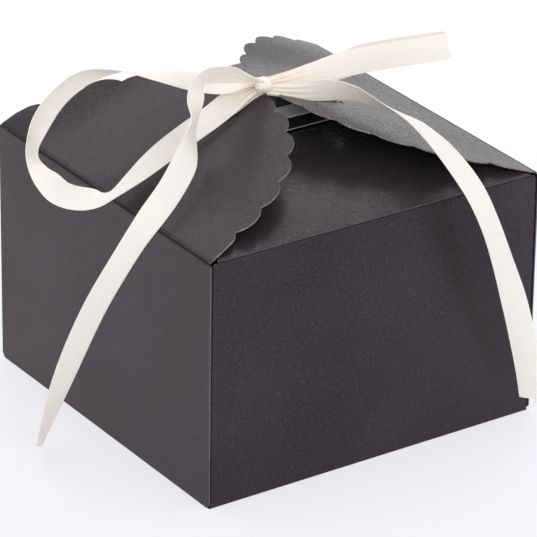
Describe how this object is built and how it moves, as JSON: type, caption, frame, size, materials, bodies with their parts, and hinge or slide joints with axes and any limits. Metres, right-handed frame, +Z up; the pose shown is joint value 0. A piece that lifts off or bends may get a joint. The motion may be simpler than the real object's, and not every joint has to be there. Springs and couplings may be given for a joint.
{
  "type": "gift box",
  "caption": "Square black card gift box with scalloped top flaps folded over plain flaps, tied shut with a cream satin ribbon bow threaded through slots in the flaps.",
  "frame": {"origin": "middle of the underside of the box, on the surface that it stands on", "axes": "+Z up; -X towards the left scalloped flap, -Y towards the front plain flap"},
  "size_m": [0.1949, 0.169, 0.1446],
  "materials": {
    "black_card": "matte charcoal-black card with fine fibres and paler cut edges",
    "cream_ribbon": "cream satin ribbon with a soft sheen"
  },
  "bodies": {
    "tray": {"base_panel": "black_card", "front_wall": "black_card", "back_wall": "black_card", "left_wall": "black_card", "right_wall": "black_card", "front_left_tab": "black_card", "front_right_tab": "black_card", "back_left_tab": "black_card", "back_right_tab": "black_card"},
    "left_flap": {"left_flap": "black_card"},
    "right_flap": {"right_flap": "black_card"},
    "front_flap": {"front_flap": "black_card"},
    "back_flap": {"back_flap": "black_card"},
    "ribbon": {"ribbon_knot": "cream_ribbon", "ribbon_left_loop": "cream_ribbon", "ribbon_right_loop": "cream_ribbon", "ribbon_left_tail": "cream_ribbon", "ribbon_right_tail": "cream_ribbon", "ribbon_strap": "cream_ribbon"}
  },
  "joints": [
    {"name": "left_flap_hinge", "type": "hinge", "parent": "tray", "child": "left_flap", "pos_m": [-0.0747, 0, 0.1017], "axis": [0, -1, 0], "range_deg": [0, 105]},
    {"name": "right_flap_hinge", "type": "hinge", "parent": "tray", "child": "right_flap", "pos_m": [0.0747, 0, 0.1017], "axis": [0, 1, 0], "range_deg": [0, 105]},
    {"name": "front_flap_hinge", "type": "hinge", "parent": "tray", "child": "front_flap", "pos_m": [0, -0.0747, 0.1017], "axis": [1, 0, 0], "range_deg": [0, 105]},
    {"name": "back_flap_hinge", "type": "hinge", "parent": "tray", "child": "back_flap", "pos_m": [0, 0.0747, 0.1017], "axis": [-1, 0, 0], "range_deg": [0, 105]},
    {"name": "ribbon_lift", "type": "slide", "parent": "tray", "child": "ribbon", "axis": [0, 0, 1], "range_m": [0, 0.22], "deforming": ["ribbon_strap"]}
  ],
  "couplings": [
    {"joint": "right_flap_hinge", "follows": "left_flap_hinge", "ratio": 1},
    {"joint": "front_flap_hinge", "follows": "left_flap_hinge", "ratio": 1},
    {"joint": "back_flap_hinge", "follows": "left_flap_hinge", "ratio": 1},
    {"joint": "ribbon_lift", "follows": "left_flap_hinge", "m_per_rad": 0.12}
  ]
}
